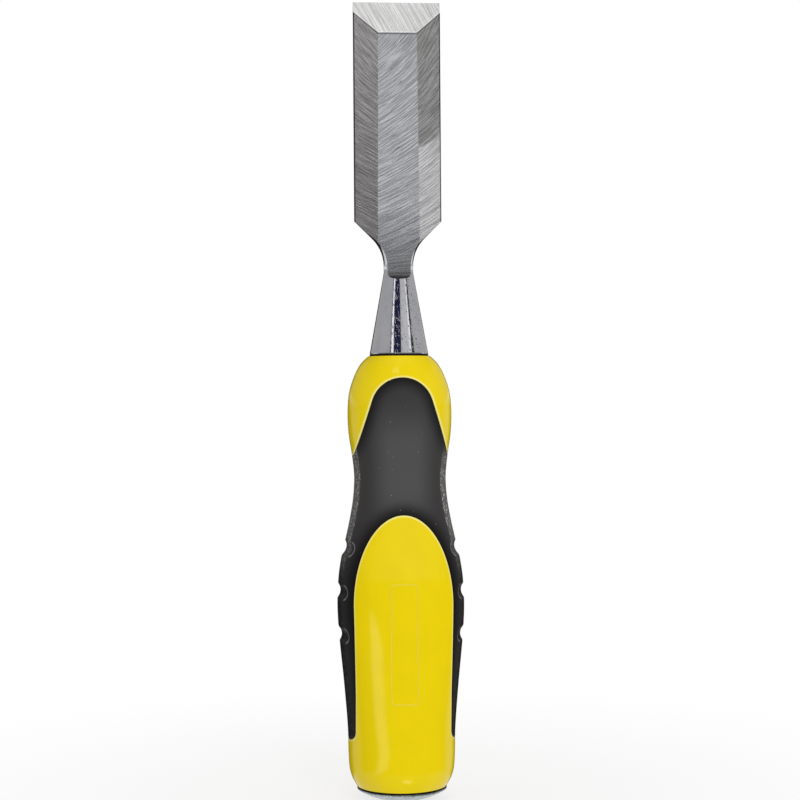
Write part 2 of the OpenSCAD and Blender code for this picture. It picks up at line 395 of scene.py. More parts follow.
def rounded(corners, radii, steps=5):
    """Outline through corners, each replaced by a circular arc of its own radius that touches
    both of its sides."""
    corners = np.asarray(corners, float)
    out = []
    for i, radius in enumerate(radii):
        here = corners[i]
        if radius == 0:
            out.append(here[None])
            continue
        back = corners[i - 1] - here
        ahead = corners[(i + 1) % len(corners)] - here
        back = back / np.hypot(*back)
        ahead = ahead / np.hypot(*ahead)
        half = np.arccos(np.clip(back @ ahead, -1, 1)) / 2
        middle = (back + ahead) / np.hypot(*(back + ahead))
        centre = here + middle * radius / sin(half)
        first = here + back * radius / tan(half) - centre
        last = here + ahead * radius / tan(half) - centre
        share = np.linspace(0, 1, steps)[:, None]
        spread = pi - 2 * half
        arc = (np.sin((1 - share) * spread) * first + np.sin(share * spread) * last) / sin(spread)
        out.append(centre + arc)
    return np.concatenate(out)


# ---------------------------------------------------------------- shader maths


class Value:
    """A number that varies over a surface: a socket on which sums are written as plain Python."""

    def __init__(self, paint, socket):
        self.paint = paint
        self.socket = socket

    def out(self, name):
        """Another output of the same node."""
        return Value(self.paint, self.socket.node.outputs[name])

    def _maths(self, operation, *terms):
        return self.paint.node("ShaderNodeMath", {"operation": operation}, dict(enumerate(terms)))

    def __add__(self, other):
        return self._maths("ADD", self, other)

    def __radd__(self, other):
        return self._maths("ADD", other, self)

    def __sub__(self, other):
        return self._maths("SUBTRACT", self, other)

    def __rsub__(self, other):
        return self._maths("SUBTRACT", other, self)

    def __mul__(self, other):
        return self._maths("MULTIPLY", self, other)

    def __rmul__(self, other):
        return self._maths("MULTIPLY", other, self)

    def __truediv__(self, other):
        return self._maths("DIVIDE", self, other)

    def __rtruediv__(self, other):
        return self._maths("DIVIDE", other, self)

    def __neg__(self):
        return self._maths("MULTIPLY", self, -1.0)

    def __abs__(self):
        return self._maths("ABSOLUTE", self)

    def root(self):
        return self._maths("SQRT", self)

    def turn(self, across):
        """Angle of the arrow whose rise is this number and whose run is across."""
        return self._maths("ARCTAN2", self, across)

    def fraction(self):
        return self._maths("FRACT", self)

    def least(self, other):
        return self._maths("MINIMUM", self, other)

    def most(self, other):
        return self._maths("MAXIMUM", self, other)

    def smooth(self, low, high):
        """0 below low, 1 above high, a soft step between."""
        sockets = {0: self, 1: low, 2: high, 3: 0.0, 4: 1.0}
        return self.paint.node("ShaderNodeMapRange", {"interpolation_type": "SMOOTHSTEP"}, sockets)

    def band(self, low, high, soft):
        """1 between low and high, with soft flanks."""
        return self.smooth(low - soft, low + soft) * (1 - self.smooth(high - soft, high + soft))


class Paint:
    """Builds the nodes of one material or one world."""

    def __init__(self, owner):
        owner.use_nodes = True
        self.owner = owner
        self.tree = owner.node_tree
        self.tree.nodes.clear()

    def node(self, kind, settings=None, sockets=None, output=0):
        """Adds a node: its settings first, ramp stops among them, then its sockets' values or
        links. Returns one of its outputs."""
        node = self.tree.nodes.new(kind)
        node.location = (180 * (len(self.tree.nodes) % 12), -220 * (len(self.tree.nodes) // 12))
        for name, setting in (settings or {}).items():
            if name == "stops":
                ramp = node.color_ramp
                while len(ramp.elements) < len(setting):
                    ramp.elements.new(0.5)
                for element, (at, colour) in zip(ramp.elements, setting):
                    element.position = at
                    element.color = (*colour, 1)
            else:
                setattr(node, name, setting)
        for name, value in (sockets or {}).items():
            socket = node.inputs[name]
            if isinstance(value, Value):
                self.tree.links.new(value.socket, socket)
            elif hasattr(value, "__len__") and len(value) == 3 and len(socket.default_value) == 4:
                socket.default_value = (*value, 1)
            else:
                socket.default_value = value
        return Value(self, node.outputs[output]) if node.outputs else node

    def place(self):
        """Object coordinates in millimetres, as three values."""
        here = self.node("ShaderNodeTexCoord", output="Object")
        split = self.node("ShaderNodeSeparateXYZ", None, {0: here})
        return split / MM, split.out("Y") / MM, split.out("Z") / MM

    def vector(self, x, y, z=0.0):
        """Three numbers as one vector."""
        return self.node("ShaderNodeCombineXYZ", None, {0: x, 1: y, 2: z})

    def noise(self, where, detail=2.0, roughness=0.5, kind="3D"):
        """Smooth noise, one cell to each unit of where."""
        sockets = {"Vector": where, "Scale": 1.0, "Detail": detail, "Roughness": roughness}
        return self.node("ShaderNodeTexNoise", {"noise_dimensions": kind}, sockets)

    def mottle(self, place, cell, detail=2.0, roughness=0.5):
        """Smooth noise whose cells are cell millimetres wide, or have one size for each way."""
        cell = cell if isinstance(cell, tuple) else (cell,) * 3
        return self.noise(self.vector(*(at / wide for at, wide in zip(place, cell))), detail, roughness)

    def mix(self, share, first, second):
        """Colour between first and second."""
        sockets = {0: share, 6: first, 7: second}
        return self.node("ShaderNodeMix", {"data_type": "RGBA"}, sockets, output=2)

    def attribute(self, name):
        """A number that the mesh carries at each point."""
        return self.node("ShaderNodeAttribute", {"attribute_name": name}, output="Fac")

    def scaled(self, colour, factor):
        """Colour made lighter or darker by a factor."""
        return self.node("ShaderNodeVectorMath", {"operation": "SCALE"}, {0: colour, "Scale": factor})

    def bump(self, height, distance):
        """Normal tilted by a height of the given size in millimetres."""
        sockets = {"Strength": 1.0, "Distance": distance * MM, "Height": height}
        return self.node("ShaderNodeBump", None, sockets)

    def surface(self, **sockets):
        """The Principled shader with these sockets, and the output."""
        named = {key.replace("_", " "): value for key, value in sockets.items()}
        shader = self.node("ShaderNodeBsdfPrincipled", None, named)
        self.node("ShaderNodeOutputMaterial", None, {"Surface": shader})
        return self.owner


def paint(name):
    """The builder of a new material."""
    return Paint(bpy.data.materials.new(name))


def darker(colour, factor):
    """A plain colour times a factor."""
    return tuple(part * factor for part in colour)


def scratches(p, x, z, centre, width, length, seed):
    """Long streaks along circles round centre: noise over (turn * reach / length, r / width)."""
    dx = x - centre[0]
    dz = z - centre[1]
    reach = 90.0
    along = dz.turn(dx) * (reach / length) + seed
    across = (dx * dx + dz * dz).root() / width
    return p.noise(p.vector(along, across, seed), 2.0, 0.6, "2D")


def ground_steel(
    name, look, base, centre, strength, lower=None, painted_light_patch=None, painted_shade_fall=None, line=None, rim=False
):
    """Ground steel: streaks of the grinding wheel in two sizes, fine speckle and a few deep
    strokes, which move the colour, the roughness and the bump.

    base is the colour, centre the middle of the circles that the streaks follow, and strength their
    contrast. lower is another such middle, for the neck. tint is a lighter colour, painted light, and
    the height of the slanting line below which it takes over. fall is two heights between which the
    colour darkens downwards as painted shade, and how much. line is the colour of a painted line along
    the arris of the cutting bevel: a dark colour paints shade just below the arris, a light one a
    highlight just above it. rim says whether the side edges are darkened with painted shade."""
    p = paint(name)
    x, _, z = place = p.place()
    fine = scratches(p, x, z, centre, 0.16, 8.0, 3.7)
    broad = scratches(p, x, z, centre, 0.3, 13.0, 11.3)
    deep = scratches(p, x, z, centre, 0.4, 8.0, 27.1)
    if lower:
        low = 1 - z.smooth(GROUND_Z - 1, GROUND_Z + 11)
        fine = fine + low * (scratches(p, x, z, lower, 0.16, 8.0, 5.1) - fine)
        broad = broad + low * (scratches(p, x, z, lower, 0.3, 13.0, 8.3) - broad)
    speckle = p.mottle(place, 0.22, 1.0)
    grain = (fine * 0.42 + broad * 0.38 + speckle * 0.2).smooth(0.42, 0.58)
    strokes = deep.smooth(0.68, 0.73)
    cloud = p.mottle(place, 9, 3.0, 0.6)
    colour = p.mix(cloud.smooth(0.3, 0.7) * 0.6, base, darker(base, 0.88))
    if painted_light_patch:
        # Painted light: a lighter colour below a slanting line.
        level = z - x * 0.7 + (cloud - 0.5) * 4
        colour = p.mix(1 - level.smooth(painted_light_patch[3], painted_light_patch[3] + 3), colour, painted_light_patch[:3])
    if painted_shade_fall:
        # Painted shade: the colour darkens downwards between two heights.
        colour = p.mix(1 - z.smooth(painted_shade_fall[0], painted_shade_fall[1]), colour, darker(base, painted_shade_fall[2]))
    contrast = look.scratch_contrast * strength
    colour = p.mix(grain, p.scaled(colour, 1 - contrast), p.scaled(colour, 1 + contrast))
    colour = p.mix(strokes * 0.5, colour, (0.17, 0.17, 0.18))
    if line:
        # Painted line along the cutting bevel's arris: shade below it, highlight above it.
        above = z - (abs(x) - ARRIS_HALF_W).most(0.0) * ARRIS_RISE - ARRIS_Z
        along = above.band(0.05, 0.4, 0.1) if line[0] > 0.5 else above.band(-0.5, -0.05, 0.15)
        colour = p.mix(along * 0.75, colour, line)
    if rim:
        # Painted shade: a dark strip along the side edges.
        edge = abs(x).smooth(BLADE_HALF_W - 0.45, BLADE_HALF_W - 0.2)
        colour = p.mix(edge * 0.9, colour, (0.012, 0.012, 0.014))
    rough = look.ground_roughness + (0.5 - grain) * 0.12 + strokes * 0.15
    height = grain * 0.7 + fine * 0.6 - strokes * 0.8
    return p.surface(
        Base_Color=colour, Metallic=1.0, Roughness=rough, Normal=p.bump(height, look.scratch_depth)
    )


def hollow_steel_painted_shade():
    """Polished hollow in which the ground front ends on the cone, darkened as painted shade, most
    towards its lower end.
    """
    p = paint("hollow_steel_painted_shade")
    place = p.place()
    marks = p.mottle(place, (1.5, 0.12, 0.12), 2.0, 0.6)
    colour = p.mix(marks.smooth(0.35, 0.65), (0.03, 0.03, 0.035), (0.12, 0.12, 0.13))
    colour = p.mix(place[2].smooth(151.5, 153.4), colour, (0.26, 0.26, 0.275))
    rough = 0.2 + (marks - 0.5) * 0.1
    return p.surface(Base_Color=colour, Metallic=1.0, Roughness=rough, Normal=p.bump(marks, 0.006))


def land_steel():
    """Blackened side lands of the blade: forge scale rubbed bright in places, its darkness also standing
    as painted shade for the dark outline along the sides and, on the shoulders' down-facing slopes,
    under the shoulders.
    """
    p = paint("blade_land_scale_and_shade")
    place = p.place()
    cloud = p.mottle(place, (2, 0.8, 4), 4.0, 0.6)
    bright = cloud.smooth(0.55, 0.75)
    colour = p.mix(bright, (0.05, 0.05, 0.055), (0.28, 0.28, 0.29))
    rough = 0.5 - bright * 0.18
    return p.surface(Base_Color=colour, Metallic=1.0, Roughness=rough, Normal=p.bump(cloud, 0.02))


def polished_steel(look):
    """Polished turned steel: faint rings of the lathe, a few pits, light handling scratches."""
    p = paint("polished_steel")
    x, y, z = place = p.place()
    rings = p.mottle(place, (40, 40, 0.12), 2.0, 0.6)
    worn = x.smooth(-1.5, 3.0)
    pits = (p.mottle(place, (0.4, 0.4, 0.6), 2.0) + worn * 0.06).smooth(0.7, 0.74)
    streak = p.noise(p.vector(x / 0.3 + z / 2, y / 0.3, z / 2.5), 2.0, 0.5).smooth(0.58, 0.64)
    streak = streak * x.band(-3.0, 3.5, 0.8)
    cloud = p.mottle(place, (3, 3, 6), 3.0, 0.6).smooth(0.3, 0.7)
    colour = p.mix(cloud * 0.35, look.polished_colour, (0.50, 0.51, 0.55))
    colour = p.mix(pits, colour, (0.05, 0.05, 0.07))
    rough = look.polished_roughness + cloud * 0.03 + streak * 0.3 + pits * 0.3
    height = rings * 0.12 + streak * 0.4 - pits
    return p.surface(Base_Color=colour, Metallic=1.0, Roughness=rough, Normal=p.bump(height, 0.006))


def yellow_plastic(look):
    """Glossy moulded plastic: faint clouds of pigment, soft orange peel, fine handling marks and a paler
    line along the edges, a painted highlight where the rounded edges catch the light."""
    p = paint("yellow_plastic")
    place = p.place()
    cloud = p.mottle(place, (7, 7, 11), 3.0, 0.6)
    peel = p.mottle(place, 0.7, 2.0)
    marks = p.mottle(place, (0.4, 0.4, 3.5), 2.0).smooth(0.66, 0.72)
    colour = p.mix(cloud.smooth(0.3, 0.7) * 0.6, look.yellow, look.yellow_deep)
    # Painted highlight: a paler line along the yellow's edges.
    colour = p.mix(p.attribute("edge") * 0.75, colour, look.yellow_edge_highlight)
    rough = look.yellow_roughness + (cloud - 0.5) * 0.08 + marks * 0.1
    height = peel * 0.6 + marks * 0.2
    return p.surface(
        Base_Color=colour, Roughness=rough, Normal=p.bump(height, 0.003),
        IOR=1.5, Specular_IOR_Level=0.2,
    )


def grip_rubber(look):
    """Soft black rubber: satin on the front and back, with painted shade that blackens it towards its
    borders, low down and on the finely stippled sides, a painted sheen in the middle of the waist,
    painted glints on the stipple there, painted highlights at the groove ends and a few specks of dust."""
    p = paint("grip_rubber")
    x, y, z = place = p.place()
    inland = p.attribute("inland")
    side = 1 - (abs(y) - x.smooth(-1, 1) * 1.5).smooth(6.1, 6.7)
    waist = z.smooth(62, 84) * (1 - z.smooth(98, 104))
    cell = p.vector(x / 0.75, y / 0.75, z / 0.75)
    bead = p.node("ShaderNodeTexVoronoi", {"feature": "F1"}, {"Vector": cell, "Scale": 1.0})
    stipple = 1 - bead.smooth(0.15, 0.6)
    satin = p.mottle(place, 0.25, 2.0, 0.6)
    dust = p.mottle(place, 0.4, 0.0).smooth(0.87, 0.89)
    cloud = p.mottle(place, (1.6, 1.6, 2.5), 3.0, 0.6).smooth(0.3, 0.7)
    # Painted sheen: lighter in the middle of the waist.
    colour = p.mix(z.band(84, 110, 8) * (1 - abs(x).smooth(3, 11)), look.rubber, look.rubber_sheen)
    # Painted shade: blacker towards the rubber's borders, and below the waist on the next line.
    colour = p.mix(1 - inland.smooth(-1.0, 5.0), colour, look.rubber_shade)
    colour = p.mix((1 - z.smooth(60, 86)) * 0.85, colour, look.rubber_shade)
    # Painted shade: the stippled sides are much darker than the front.
    colour = p.mix(side, colour, look.rubber_side_shaded)
    # Painted glints: lighter stipple tops, most at the waist.
    colour = p.mix(side * waist * 0.35, colour, look.rubber_stipple_glint)
    colour = p.mix(side * stipple * (0.07 + waist * 0.88) * cloud, colour, (0.5, 0.48, 0.46))
    groove = ((z - GROOVES[0]) / GROOVE_PITCH + 0.5).fraction()
    across = (groove - 0.5) * GROOVE_PITCH
    beyond = (abs(y) - GROOVE_END).most(0.0)
    reach = (across * across + beyond * beyond).root()
    # Painted highlight: light-grey crescents at the finger grooves' round ends.
    rim = reach.band(1.75, 2.25, 0.2) * abs(y).smooth(6.6, 7.6) * z.band(43.5, 77.5, 1)
    colour = p.mix(rim * 0.7, colour, (0.3, 0.3, 0.305))
    colour = p.mix(dust * 0.8, colour, (0.5, 0.5, 0.5))
    rough = look.rubber_roughness - side * 0.06 + (satin - 0.5) * 0.1
    height = satin * (1 - side) * 0.08 + side * stipple
    return p.surface(
        Base_Color=colour, Roughness=rough, Normal=p.bump(height, 0.06), Specular_IOR_Level=0.07
    )


def soft_black(name, colour):
    """Plain rubber or nylon of the small rings: matte with a fine moulded grain."""
    p = paint(name)
    place = p.place()
    grain = p.mottle(place, 0.3, 3.0, 0.6)
    tone = p.mix(grain.smooth(0.3, 0.7), darker(colour, 0.7), colour)
    rough = 0.6 + (grain - 0.5) * 0.2
    return p.surface(
        Base_Color=tone, Roughness=rough, Normal=p.bump(grain, 0.02), Specular_IOR_Level=0.1
    )


def cap_steel(look):
    """Dull struck steel: mottled blue-grey scale with bright rubbed spots and small dents."""
    p = paint("cap_steel")
    x, y, _ = place = p.place()
    mottle = p.mottle(place, 1.1, 4.0, 0.65)
    spots = p.mottle(place, 0.45, 2.0, 0.6).smooth(0.6, 0.7)
    rings = p.noise(p.vector((x * x + y * y).root() / 0.18, 0.5), 1.0, 0.5, "2D")
    dents = p.mottle(place, 2.4, 1.0).smooth(0.55, 0.75)
    colour = p.mix(mottle.smooth(0.35, 0.65), look.cap_dark, look.cap_light)
    colour = p.mix(spots * 0.5, colour, (0.62, 0.66, 0.68))
    rough = 0.42 - spots * 0.12 + (mottle - 0.5) * 0.2
    height = mottle * 0.35 + rings * 0.15 - dents * 0.6
    return p.surface(Base_Color=colour, Metallic=1.0, Roughness=rough, Normal=p.bump(height, 0.03))


# ---------------------------------------------------------------- settings


def size(name, description, default, low=0.0, high=10.0):
    """A number that the user may change, with its range."""
    return FloatProperty(
        name=name, description=description, default=default, min=low, max=high, precision=3
    )


def tone(name, description, default):
    """A colour that the user may change."""
    return FloatVectorProperty(
        name=name, description=description, default=default, min=0, max=1, size=3, subtype="COLOR"
    )


class ChiselShapes(bpy.types.PropertyGroup):
    """Small roundings and reliefs that the solids leave out, in millimetres."""

    yellow_round: size("Yellow edge", "Rounding of the yellow plastic's edges, in mm", 0.28, 0.05, 1)
    rubber_round: size("Rubber edge", "Rounding of the rubber's edges, in mm", 0.42, 0.05, 1)
    recess: size("Recess", "Depth of the bed under the rubber, in mm", 2.25, 1, 3)
    edge_highlight_width: size("Edge line", "Width of the pale line along the yellow edges, in mm", 0.42, 0, 2)
    frame_w: size("Frame width", "Width of the raised frame on the palm panel, in mm", 7.6, 2, 12)
    frame_h: size("Frame height", "Height of the raised frame on the palm panel, in mm", 34.0, 5, 50)
    frame_z: size("Frame place", "Height of the raised frame's middle, in mm", 46.6, 30, 60)
    frame_rise: size("Frame rise", "How far the frame stands out of the skin, in mm", 0.06, 0.01, 0.3)
    blade_edge: size("Blade arris", "Width of the broken edges of the blade, in mm", 0.26, 0.02, 0.5)
    sides: IntProperty(name="Sides", description="Sides of turned pieces", default=120, min=12, max=256)


class ChiselFinishes(bpy.types.PropertyGroup):
    """Colours and surface qualities."""

    yellow: tone("Yellow", "Moulded plastic", (0.82, 0.63, 0.003))
    yellow_deep: tone("Deep yellow", "Where the pigment is denser", (0.77, 0.59, 0.002))
    # Pale line along the yellow's edges: a painted highlight.
    yellow_edge_highlight: tone("Pale yellow", "Thin line along the plastic's edges", (0.92, 0.87, 0.34))
    yellow_roughness: size("Yellow roughness", "Roughness of the plastic", 0.11, 0.02, 1)
    rubber: tone("Rubber", "Smooth front and back of the grip", (0.042, 0.040, 0.041))
    # Lighter middle of the waist: a painted sheen.
    rubber_sheen: tone("Rubber sheen", "Middle of the waist", (0.077, 0.075, 0.077))
    # Blacker rubber along the borders and low down: painted shade.
    rubber_shade: tone("Rubber shade", "Along the rubber's borders", (0.006, 0.005, 0.005))
    # Darker stippled sides: painted shade over the moulded stipple.
    rubber_side_shaded: tone("Side rubber", "Stippled sides of the grip", (0.004, 0.0025, 0.002))
    # Lighter stipple tops at the waist: painted glints.
    rubber_stipple_glint: tone("Stipple", "Painted glint on the stipple tops", (0.26, 0.25, 0.24))
    rubber_roughness: size("Rubber roughness", "Roughness of the smooth rubber", 0.46, 0.1, 1)
    ground_flat: tone("Ground front", "Front face of the blade", (0.65, 0.66, 0.69))
    ground_left: tone("Ground left bevel", "Left side bevel", (0.61, 0.585, 0.60))
    # The right bevel's colour, darker than the front's and the left bevel's, is painted shade.
    ground_right_shaded: tone("Ground right bevel", "Right side bevel", (0.45, 0.45, 0.445))
    ground_roughness: size("Ground roughness", "Roughness of the ground steel", 0.27, 0.05, 1)
    scratch_depth: size("Scratch depth", "Depth of the grinding streaks, in mm", 0.005, 0, 0.1)
    scratch_contrast: size("Scratch contrast", "How much the streaks change the tone", 0.26, 0, 0.6)
    polished_colour: tone("Polished steel", "Cone and neck", (0.68, 0.68, 0.71))
    polished_roughness: size("Polish", "Roughness of the polished steel", 0.05, 0.01, 0.6)
    cap_dark: tone("Cap scale", "Dark mottling of the strike cap", (0.30, 0.34, 0.35))
    cap_light: tone("Cap steel", "Bright mottling of the strike cap", (0.50, 0.55, 0.56))


def angle(name, description, degrees):
    """An angle that the user may change."""
    return FloatProperty(
        name=name, description=description, default=radians(degrees), subtype="ANGLE"
    )


class ChiselStudio(bpy.types.PropertyGroup):
    """Camera and light."""

    distance: size("Distance", "Camera's distance from the tool's axis, in metres", 0.515, 0.2, 3)
    around: angle("Around", "Camera's place round the axis", -4.5)
    roll: angle("Roll", "Turn of the camera about its own axis", 0.4)
    aim_z: size("Aim", "Height that the camera looks at, in metres", 0.1159, 0, 0.3)
    aim_x: size("Aside", "How far right of the axis the camera looks, in metres", 0.0002, -0.1, 0.1)
    lens: size("Lens", "Focal length, in mm", 79.6, 20, 300)
    key: size("Key light", "Power of the key light, in watts", 10.8, 0, 100)
    top: size("Top light", "Power of the overhead light, in watts", 0.8, 0, 100)
    world: size("Surroundings", "Strength of the even light from all round", 0.69, 0, 5)


# ---------------------------------------------------------------- operators


class ChiselBlade(bpy.types.Operator):
    """Blade: the solid's own faces with broken edges, each ground face with its own streaks"""

    bl_idname = "chisel.blade"
    bl_label = "Blade and bolster"

    def execute(self, context):
        shape = context.scene.chisel_shapes
        look = context.scene.chisel_finishes
        mesh = frame["nodes"]["blade"].data.copy()
        work = bmesh.new()
        work.from_mesh(mesh)
        bmesh.ops.remove_doubles(work, verts=work.verts, dist=1e-7)
        bmesh.ops.dissolve_limit(
            work, angle_limit=radians(0.3), verts=work.verts, edges=work.edges, delimit=set()
        )
        work.to_mesh(mesh)
        work.free()
        mesh.materials.clear()
        neck = (-20.0, 330.0)
        # Colour of the painted shade line just below the cutting bevel's arris.
        dark = (0.16, 0.16, 0.17)
        for material in (
            # Front: painted shade darkens the neck downwards.
            ground_steel(
                "ground_flat", look, tuple(look.ground_flat), (-45, 262), 0.75,
                lower=neck, painted_shade_fall=(153, 174, 0.5), line=dark,
            ),
            # Left bevel: painted shade darkens it downwards.
            ground_steel(
                "ground_left", look, tuple(look.ground_left), (38, 258), 1.4,
                painted_shade_fall=(165, 222, 0.74), line=dark, rim=True,
            ),
            # Right bevel: lighter below a slanting line as painted light.
            ground_steel(
                "ground_right_shaded", look, tuple(look.ground_right_shaded), (-46, 252), 1.15,
                painted_light_patch=(0.95, 0.94, 0.97, 183), line=dark, rim=True,
            ),
            # Cutting bevel: a painted highlight line just above its arris.
            ground_steel(
                "ground_edge", look, (0.82, 0.815, 0.82), (-190, 140), 0.6, line=(0.95, 0.95, 0.95)
            ),
            ground_steel("ground_back", look, (0.60, 0.61, 0.63), (-320, 140), 0.8),
            land_steel(),
            polished_steel(look),
            hollow_steel_painted_shade(),
        ):
            mesh.materials.append(material)
        count = len(mesh.polygons)
        normal = np.empty(3 * count, np.float32)
        centre = np.empty(3 * count, np.float32)
        mesh.polygons.foreach_get("normal", normal)
        mesh.polygons.foreach_get("center", centre)
        nx, ny, nz = normal.reshape(-1, 3).T
        cx, cy, cz = centre.reshape(-1, 3).T / MM
        side = np.abs(nx)
        out = np.abs(cx)
        kind = np.full(count, POLISHED)
        upper = cz > GROUND_Z
        leaning = upper & (ny < -0.85) & (ny > -0.97)
        kind[upper & (side < 0.02) & (cy < -1.9)] = FLAT
        kind[leaning & (nx < -0.3)] = LEFT
        kind[leaning & (nx > 0.3)] = RIGHT
        kind[(nz > 0.3) & (ny < -0.8) & (cz > 200)] = EDGE
        kind[upper & (side < 0.02) & (cy > 1.2)] = BACK
        # Lands keep forge scale; the shoulders' down-facing slopes take the same dark finish as painted
        # shade.
        kind[upper & (side > 0.98) & (out > BLADE_HALF_W - 0.2)] = LAND
        kind[upper & (side > 0.65) & (nz < -0.65) & (out > 7.8)] = LAND
        front = (cz > 149) & (cz < 153.3) & (out < 3.5) & (cy < -1) & (np.hypot(cx, cy) < 4.9)
        kind[front & ((side < 0.02) & (nz > 0.25) | (np.abs(ny) < 0.02))] = HOLLOW
        mesh.polygons.foreach_set("material_index", kind.astype(np.int32))
        mesh.polygons.foreach_set("use_smooth", np.ones(count, bool))
        mesh.set_sharp_from_angle(angle=radians(14))
        self.part(mesh, kind)
        piece = show(mesh, "ground_blade")
        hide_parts("blade")
        bevel = piece.modifiers.new("broken_edges", "BEVEL")
        bevel.width = shape.blade_edge * MM
        bevel.segments = 2
        bevel.limit_method = "ANGLE"
        bevel.angle_limit = radians(20)
        bevel.use_clamp_overlap = True
        bevel.harden_normals = True
        return {"FINISHED"}

    @staticmethod
    def part(mesh, kind):
        """Makes the edges between faces of different kinds sharp as well."""
        edges = np.empty(len(mesh.loops), np.int32)
        sizes = np.empty(len(mesh.polygons), np.int32)
        mesh.loops.foreach_get("edge_index", edges)
        mesh.polygons.foreach_get("loop_total", sizes)
        owner = np.repeat(kind, sizes)
        least = np.full(len(mesh.edges), 99)
        most = np.full(len(mesh.edges), -1)
        np.minimum.at(least, edges, owner)
        np.maximum.at(most, edges, owner)
        sharp = np.empty(len(mesh.edges), bool)
        layer = mesh.attributes["sharp_edge"]
        layer.data.foreach_get("value", sharp)
        layer.data.foreach_set("value", sharp | (least != most))


class ChiselHandle(bpy.types.Operator):
    """Handle body: one closed skin with a bed for the rubber, rounded edges and bores"""

    bl_idname = "chisel.handle"
    bl_label = "Yellow handle body"

    def execute(self, context):
        shape = context.scene.chisel_shapes
        look = context.scene.chisel_finishes
        columns = 26
        toward = 1 - np.linspace(1, 0, columns) ** 2
        shell = Shell()

        def outside(rows, turns, line):
            surface = skin(turns, ROWS[rows, None])
            gap = distance(surface, line)
            # Share of the painted highlight along the yellow's edges, kept on the mesh.
            pale = np.clip(1.6 - gap / shape.edge_highlight_width, 0, 1)
            inset = np.maximum(rolled(gap, shape.yellow_round), SKIN_INSET)
            shell.add(skin(turns, ROWS[rows, None], inset), mark=pale)

        panel_rows = np.arange(0, APEX + 1)
        outside(panel_rows, PANEL_TURN[panel_rows, None] * toward, PANEL_LINE)
        tongue_rows = np.arange(MEET, len(ROWS))
        side = TONGUE_TURN[tongue_rows, None]
        outside(tongue_rows, QUARTER - (QUARTER - side) * toward[::-1], TONGUE_LINE)

        bed = np.arange(FOOT, ARCH + 1)
        share = np.linspace(0, 1, 6)
        turns = PANEL_TURN[bed, None] * (1 - share) + TONGUE_TURN[bed, None] * share
        shell.add(skin(turns, ROWS[bed, None], shape.recess))
        for rows, turns in (
            (np.arange(FOOT, APEX + 1), PANEL_TURN), (np.arange(MEET, ARCH + 1), TONGUE_TURN)
        ):
            depths = np.array([shape.yellow_round, shape.recess])
            wall = skin(turns[rows, None], ROWS[rows, None], depths)
            shell.add(wall if turns is PANEL_TURN else wall[:, ::-1])

        low = QUARTER * toward
        high = QUARTER - QUARTER * toward[::-1]
        bore = [
            skin(low, HANDLE_BOTTOM, SKIN_INSET),
            self.circle(low, STEM_R, HANDLE_BOTTOM),
            self.circle(low, STEM_R, STEM_TOP),
            self.circle(low, SLEEVE_R, STEM_TOP),
            self.circle(high, SLEEVE_R, HANDLE_TOP),
            skin(high, HANDLE_TOP, SKIN_INSET),
        ]
        shell.add(np.array(bore)[::-1])
        piece = shell.quartered().piece("yellow_body", "yellow_plastic", 40, "edge")
        piece.data.materials.append(yellow_plastic(look))
        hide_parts("handle_body")
        return {"FINISHED"}

    @staticmethod
    def circle(turns, radius, z):
        """Points of a level circle at the angles given."""
        return np.stack([radius * np.sin(turns), -radius * np.cos(turns), np.full(turns.shape, z)], -1)


class ChiselFrame(bpy.types.Operator):
    """Palm frame: a low ridge carried round a rounded rectangle that lies on the palm panel"""

    bl_idname = "chisel.palm_frame"
    bl_label = "Raised palm frame"

    def execute(self, context):
        shape = context.scene.chisel_shapes
        half_w = shape.frame_w / 2
        half_h = shape.frame_h / 2
        corners = [(half_w, half_h), (-half_w, half_h), (-half_w, -half_h), (half_w, -half_h)]
        path = rounded(corners, [1.0] * 4, 9)
        ahead = np.roll(path, -1, 0) - path
        steps = np.maximum((np.hypot(*ahead.T) / 0.5).astype(int), 1)
        path = np.concatenate([
            start + way * (np.arange(n) / n)[:, None] for start, way, n in zip(path, ahead, steps)
        ])
        along = np.roll(path, -1, 0) - np.roll(path, 1, 0)
        along /= np.hypot(*along.T)[:, None]
        beside = np.stack([along[:, 1], -along[:, 0]], -1)
        t = np.linspace(0, 2 * pi, 12, endpoint=False)
        flat = path[:, None] + beside[:, None] * (0.24 * np.cos(t))[None, :, None]
        lift = np.where(np.sin(t) > 0, shape.frame_rise, 0.2) * np.sin(t)
        z = shape.frame_z + flat[..., 1]
        surface = skin(np.sign(flat[..., 0]) * turn_at(np.abs(flat[..., 0]), z), z, -lift[None, :])
        shell = Shell()
        shell.add(np.concatenate([surface, surface[:1]]), wrap=True)
        piece = shell.piece("palm_frame", "yellow_plastic", 60)
        piece.data.materials.append(bpy.data.materials["yellow_plastic"])
        return {"FINISHED"}


